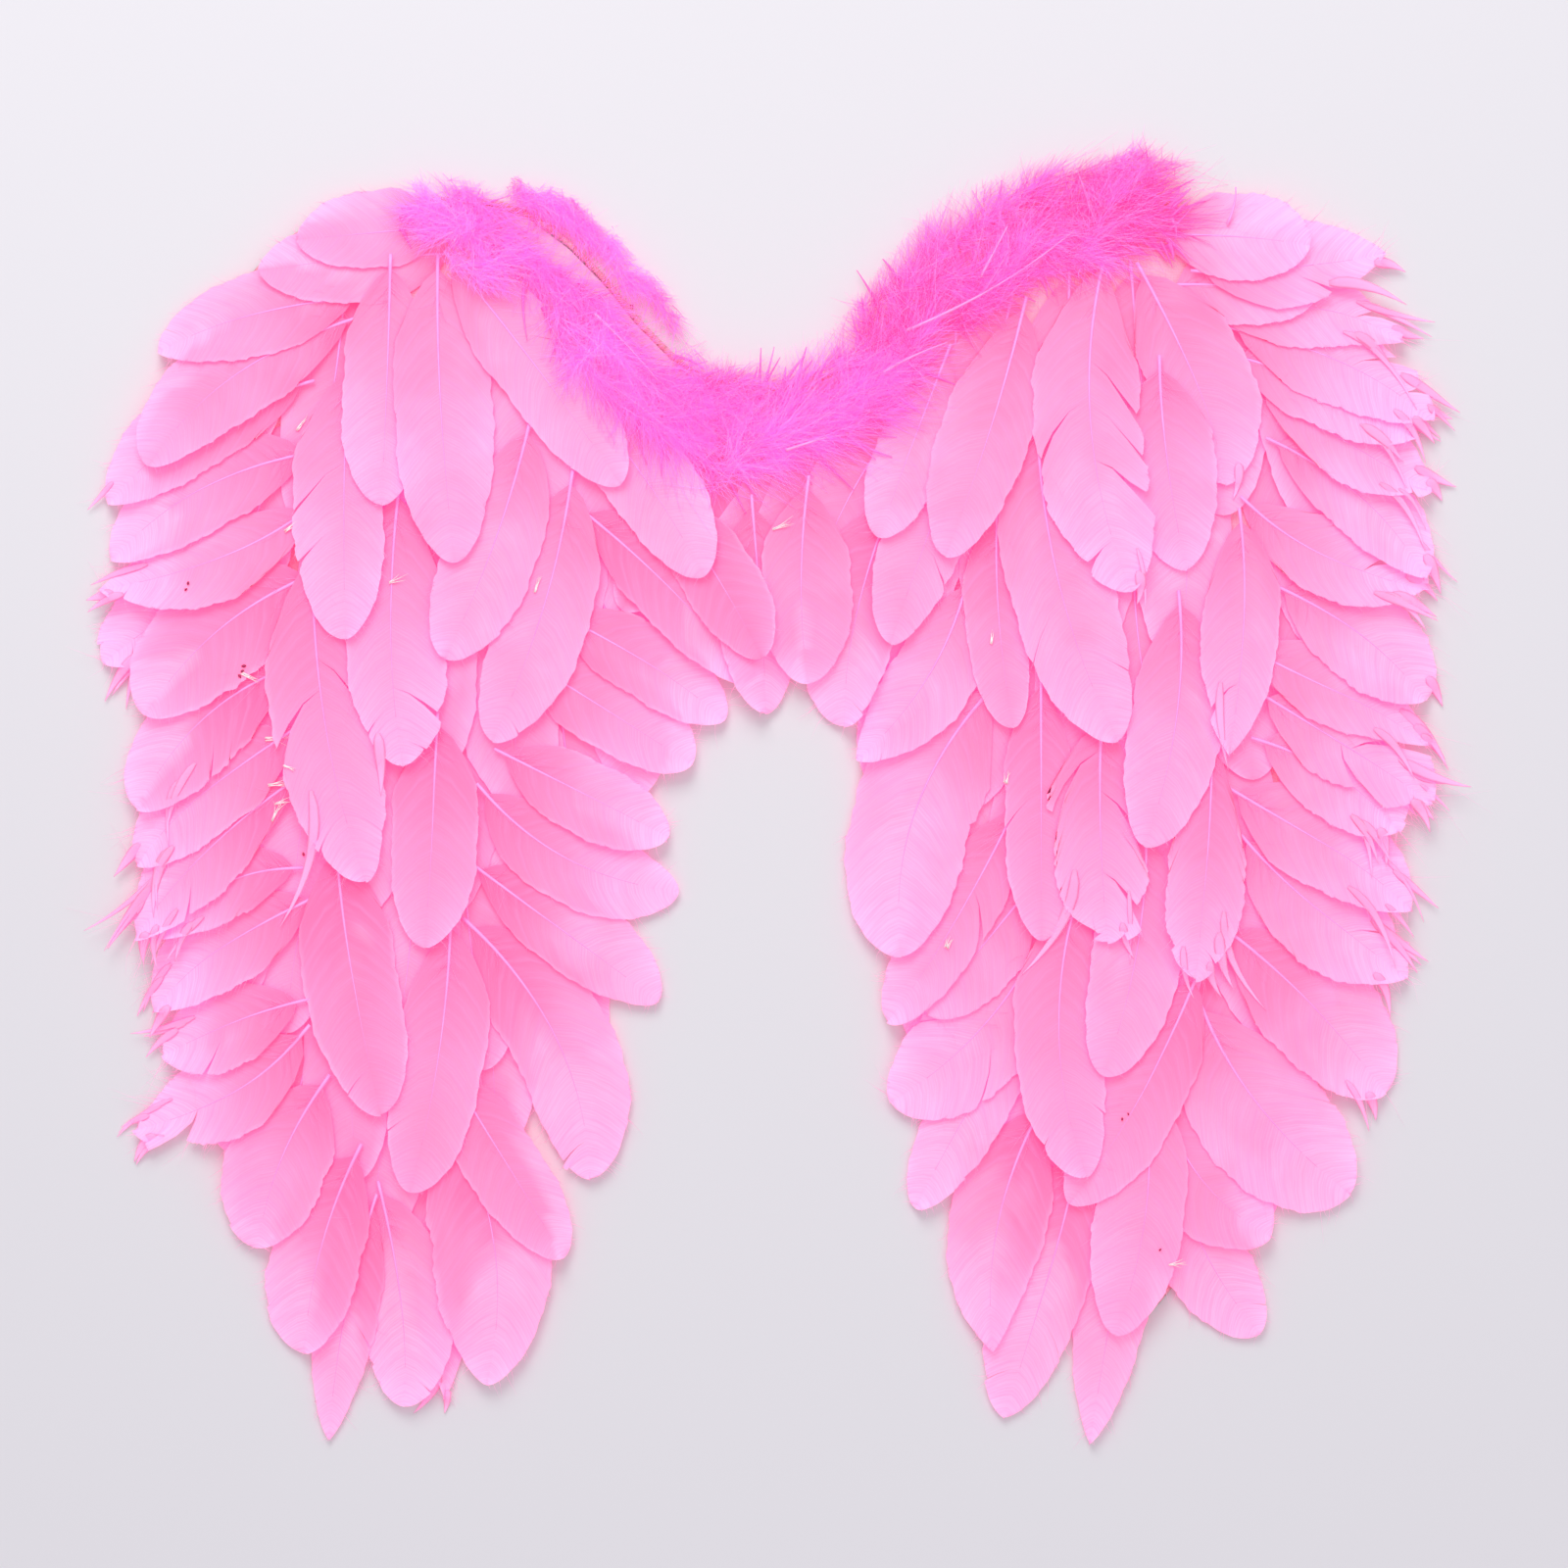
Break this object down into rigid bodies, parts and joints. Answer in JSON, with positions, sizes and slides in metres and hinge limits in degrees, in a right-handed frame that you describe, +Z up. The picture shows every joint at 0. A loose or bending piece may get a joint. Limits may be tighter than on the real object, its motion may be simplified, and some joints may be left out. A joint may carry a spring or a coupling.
{
  "type": "costume feather wings",
  "caption": "Pair of costume wings of dyed feathers on a wire rim and panel, with a fluffy trim along the top and elastic arm loops behind, lying flat.",
  "frame": {"origin": "middle of the wings' box, on the surface that they lie on", "axes": "+X across the span, +Y towards the top edge, +Z up from the surface, out of the feather side"},
  "size_m": [0.6046, 0.5724, 0.0295],
  "materials": {
    "feathers": "dyed goose feather, soft sheen",
    "marabou": "dyed marabou down, fluffy",
    "wrapped_wire": "cloth tape wound round steel wire",
    "panel": "thin non-woven fabric",
    "elastic": "ribbed woven elastic"
  },
  "bodies": {
    "root": {"arm_loop_left": "elastic", "rim_left": "wrapped_wire", "back_panel_left": "panel", "arm_loop_right": "elastic", "rim_right": "wrapped_wire", "back_panel_right": "panel", "tip_fan_left": "feathers", "tip_fan_right": "feathers", "inner_fan_left": "feathers", "inner_fan_right": "feathers", "outer_fan_left": "feathers", "outer_fan_right": "feathers", "centre_fan": "feathers", "cover_feather_left_01": "feathers", "cover_feather_left_02": "feathers", "cover_feather_left_03": "feathers", "cover_feather_left_04": "feathers", "cover_feather_left_05": "feathers", "cover_feather_left_06": "feathers", "cover_feather_left_07": "feathers", "cover_feather_left_08": "feathers", "cover_feather_left_09": "feathers", "cover_feather_left_10": "feathers", "cover_feather_left_11": "feathers", "cover_feather_left_12": "feathers", "cover_feather_right_01": "feathers", "cover_feather_right_02": "feathers", "cover_feather_right_03": "feathers", "cover_feather_right_04": "feathers", "cover_feather_right_05": "feathers", "cover_feather_right_06": "feathers", "cover_feather_right_07": "feathers", "cover_feather_right_08": "feathers", "cover_feather_right_09": "feathers", "cover_feather_right_10": "feathers", "cover_feather_right_11": "feathers", "cover_feather_right_12": "feathers", "cover_feather_right_13": "feathers", "cover_feather_right_14": "feathers", "cover_feather_right_15": "feathers", "cover_feather_right_16": "feathers", "marabou_left": "marabou", "marabou_centre": "marabou", "marabou_right": "marabou"}
  },
  "joints": []
}
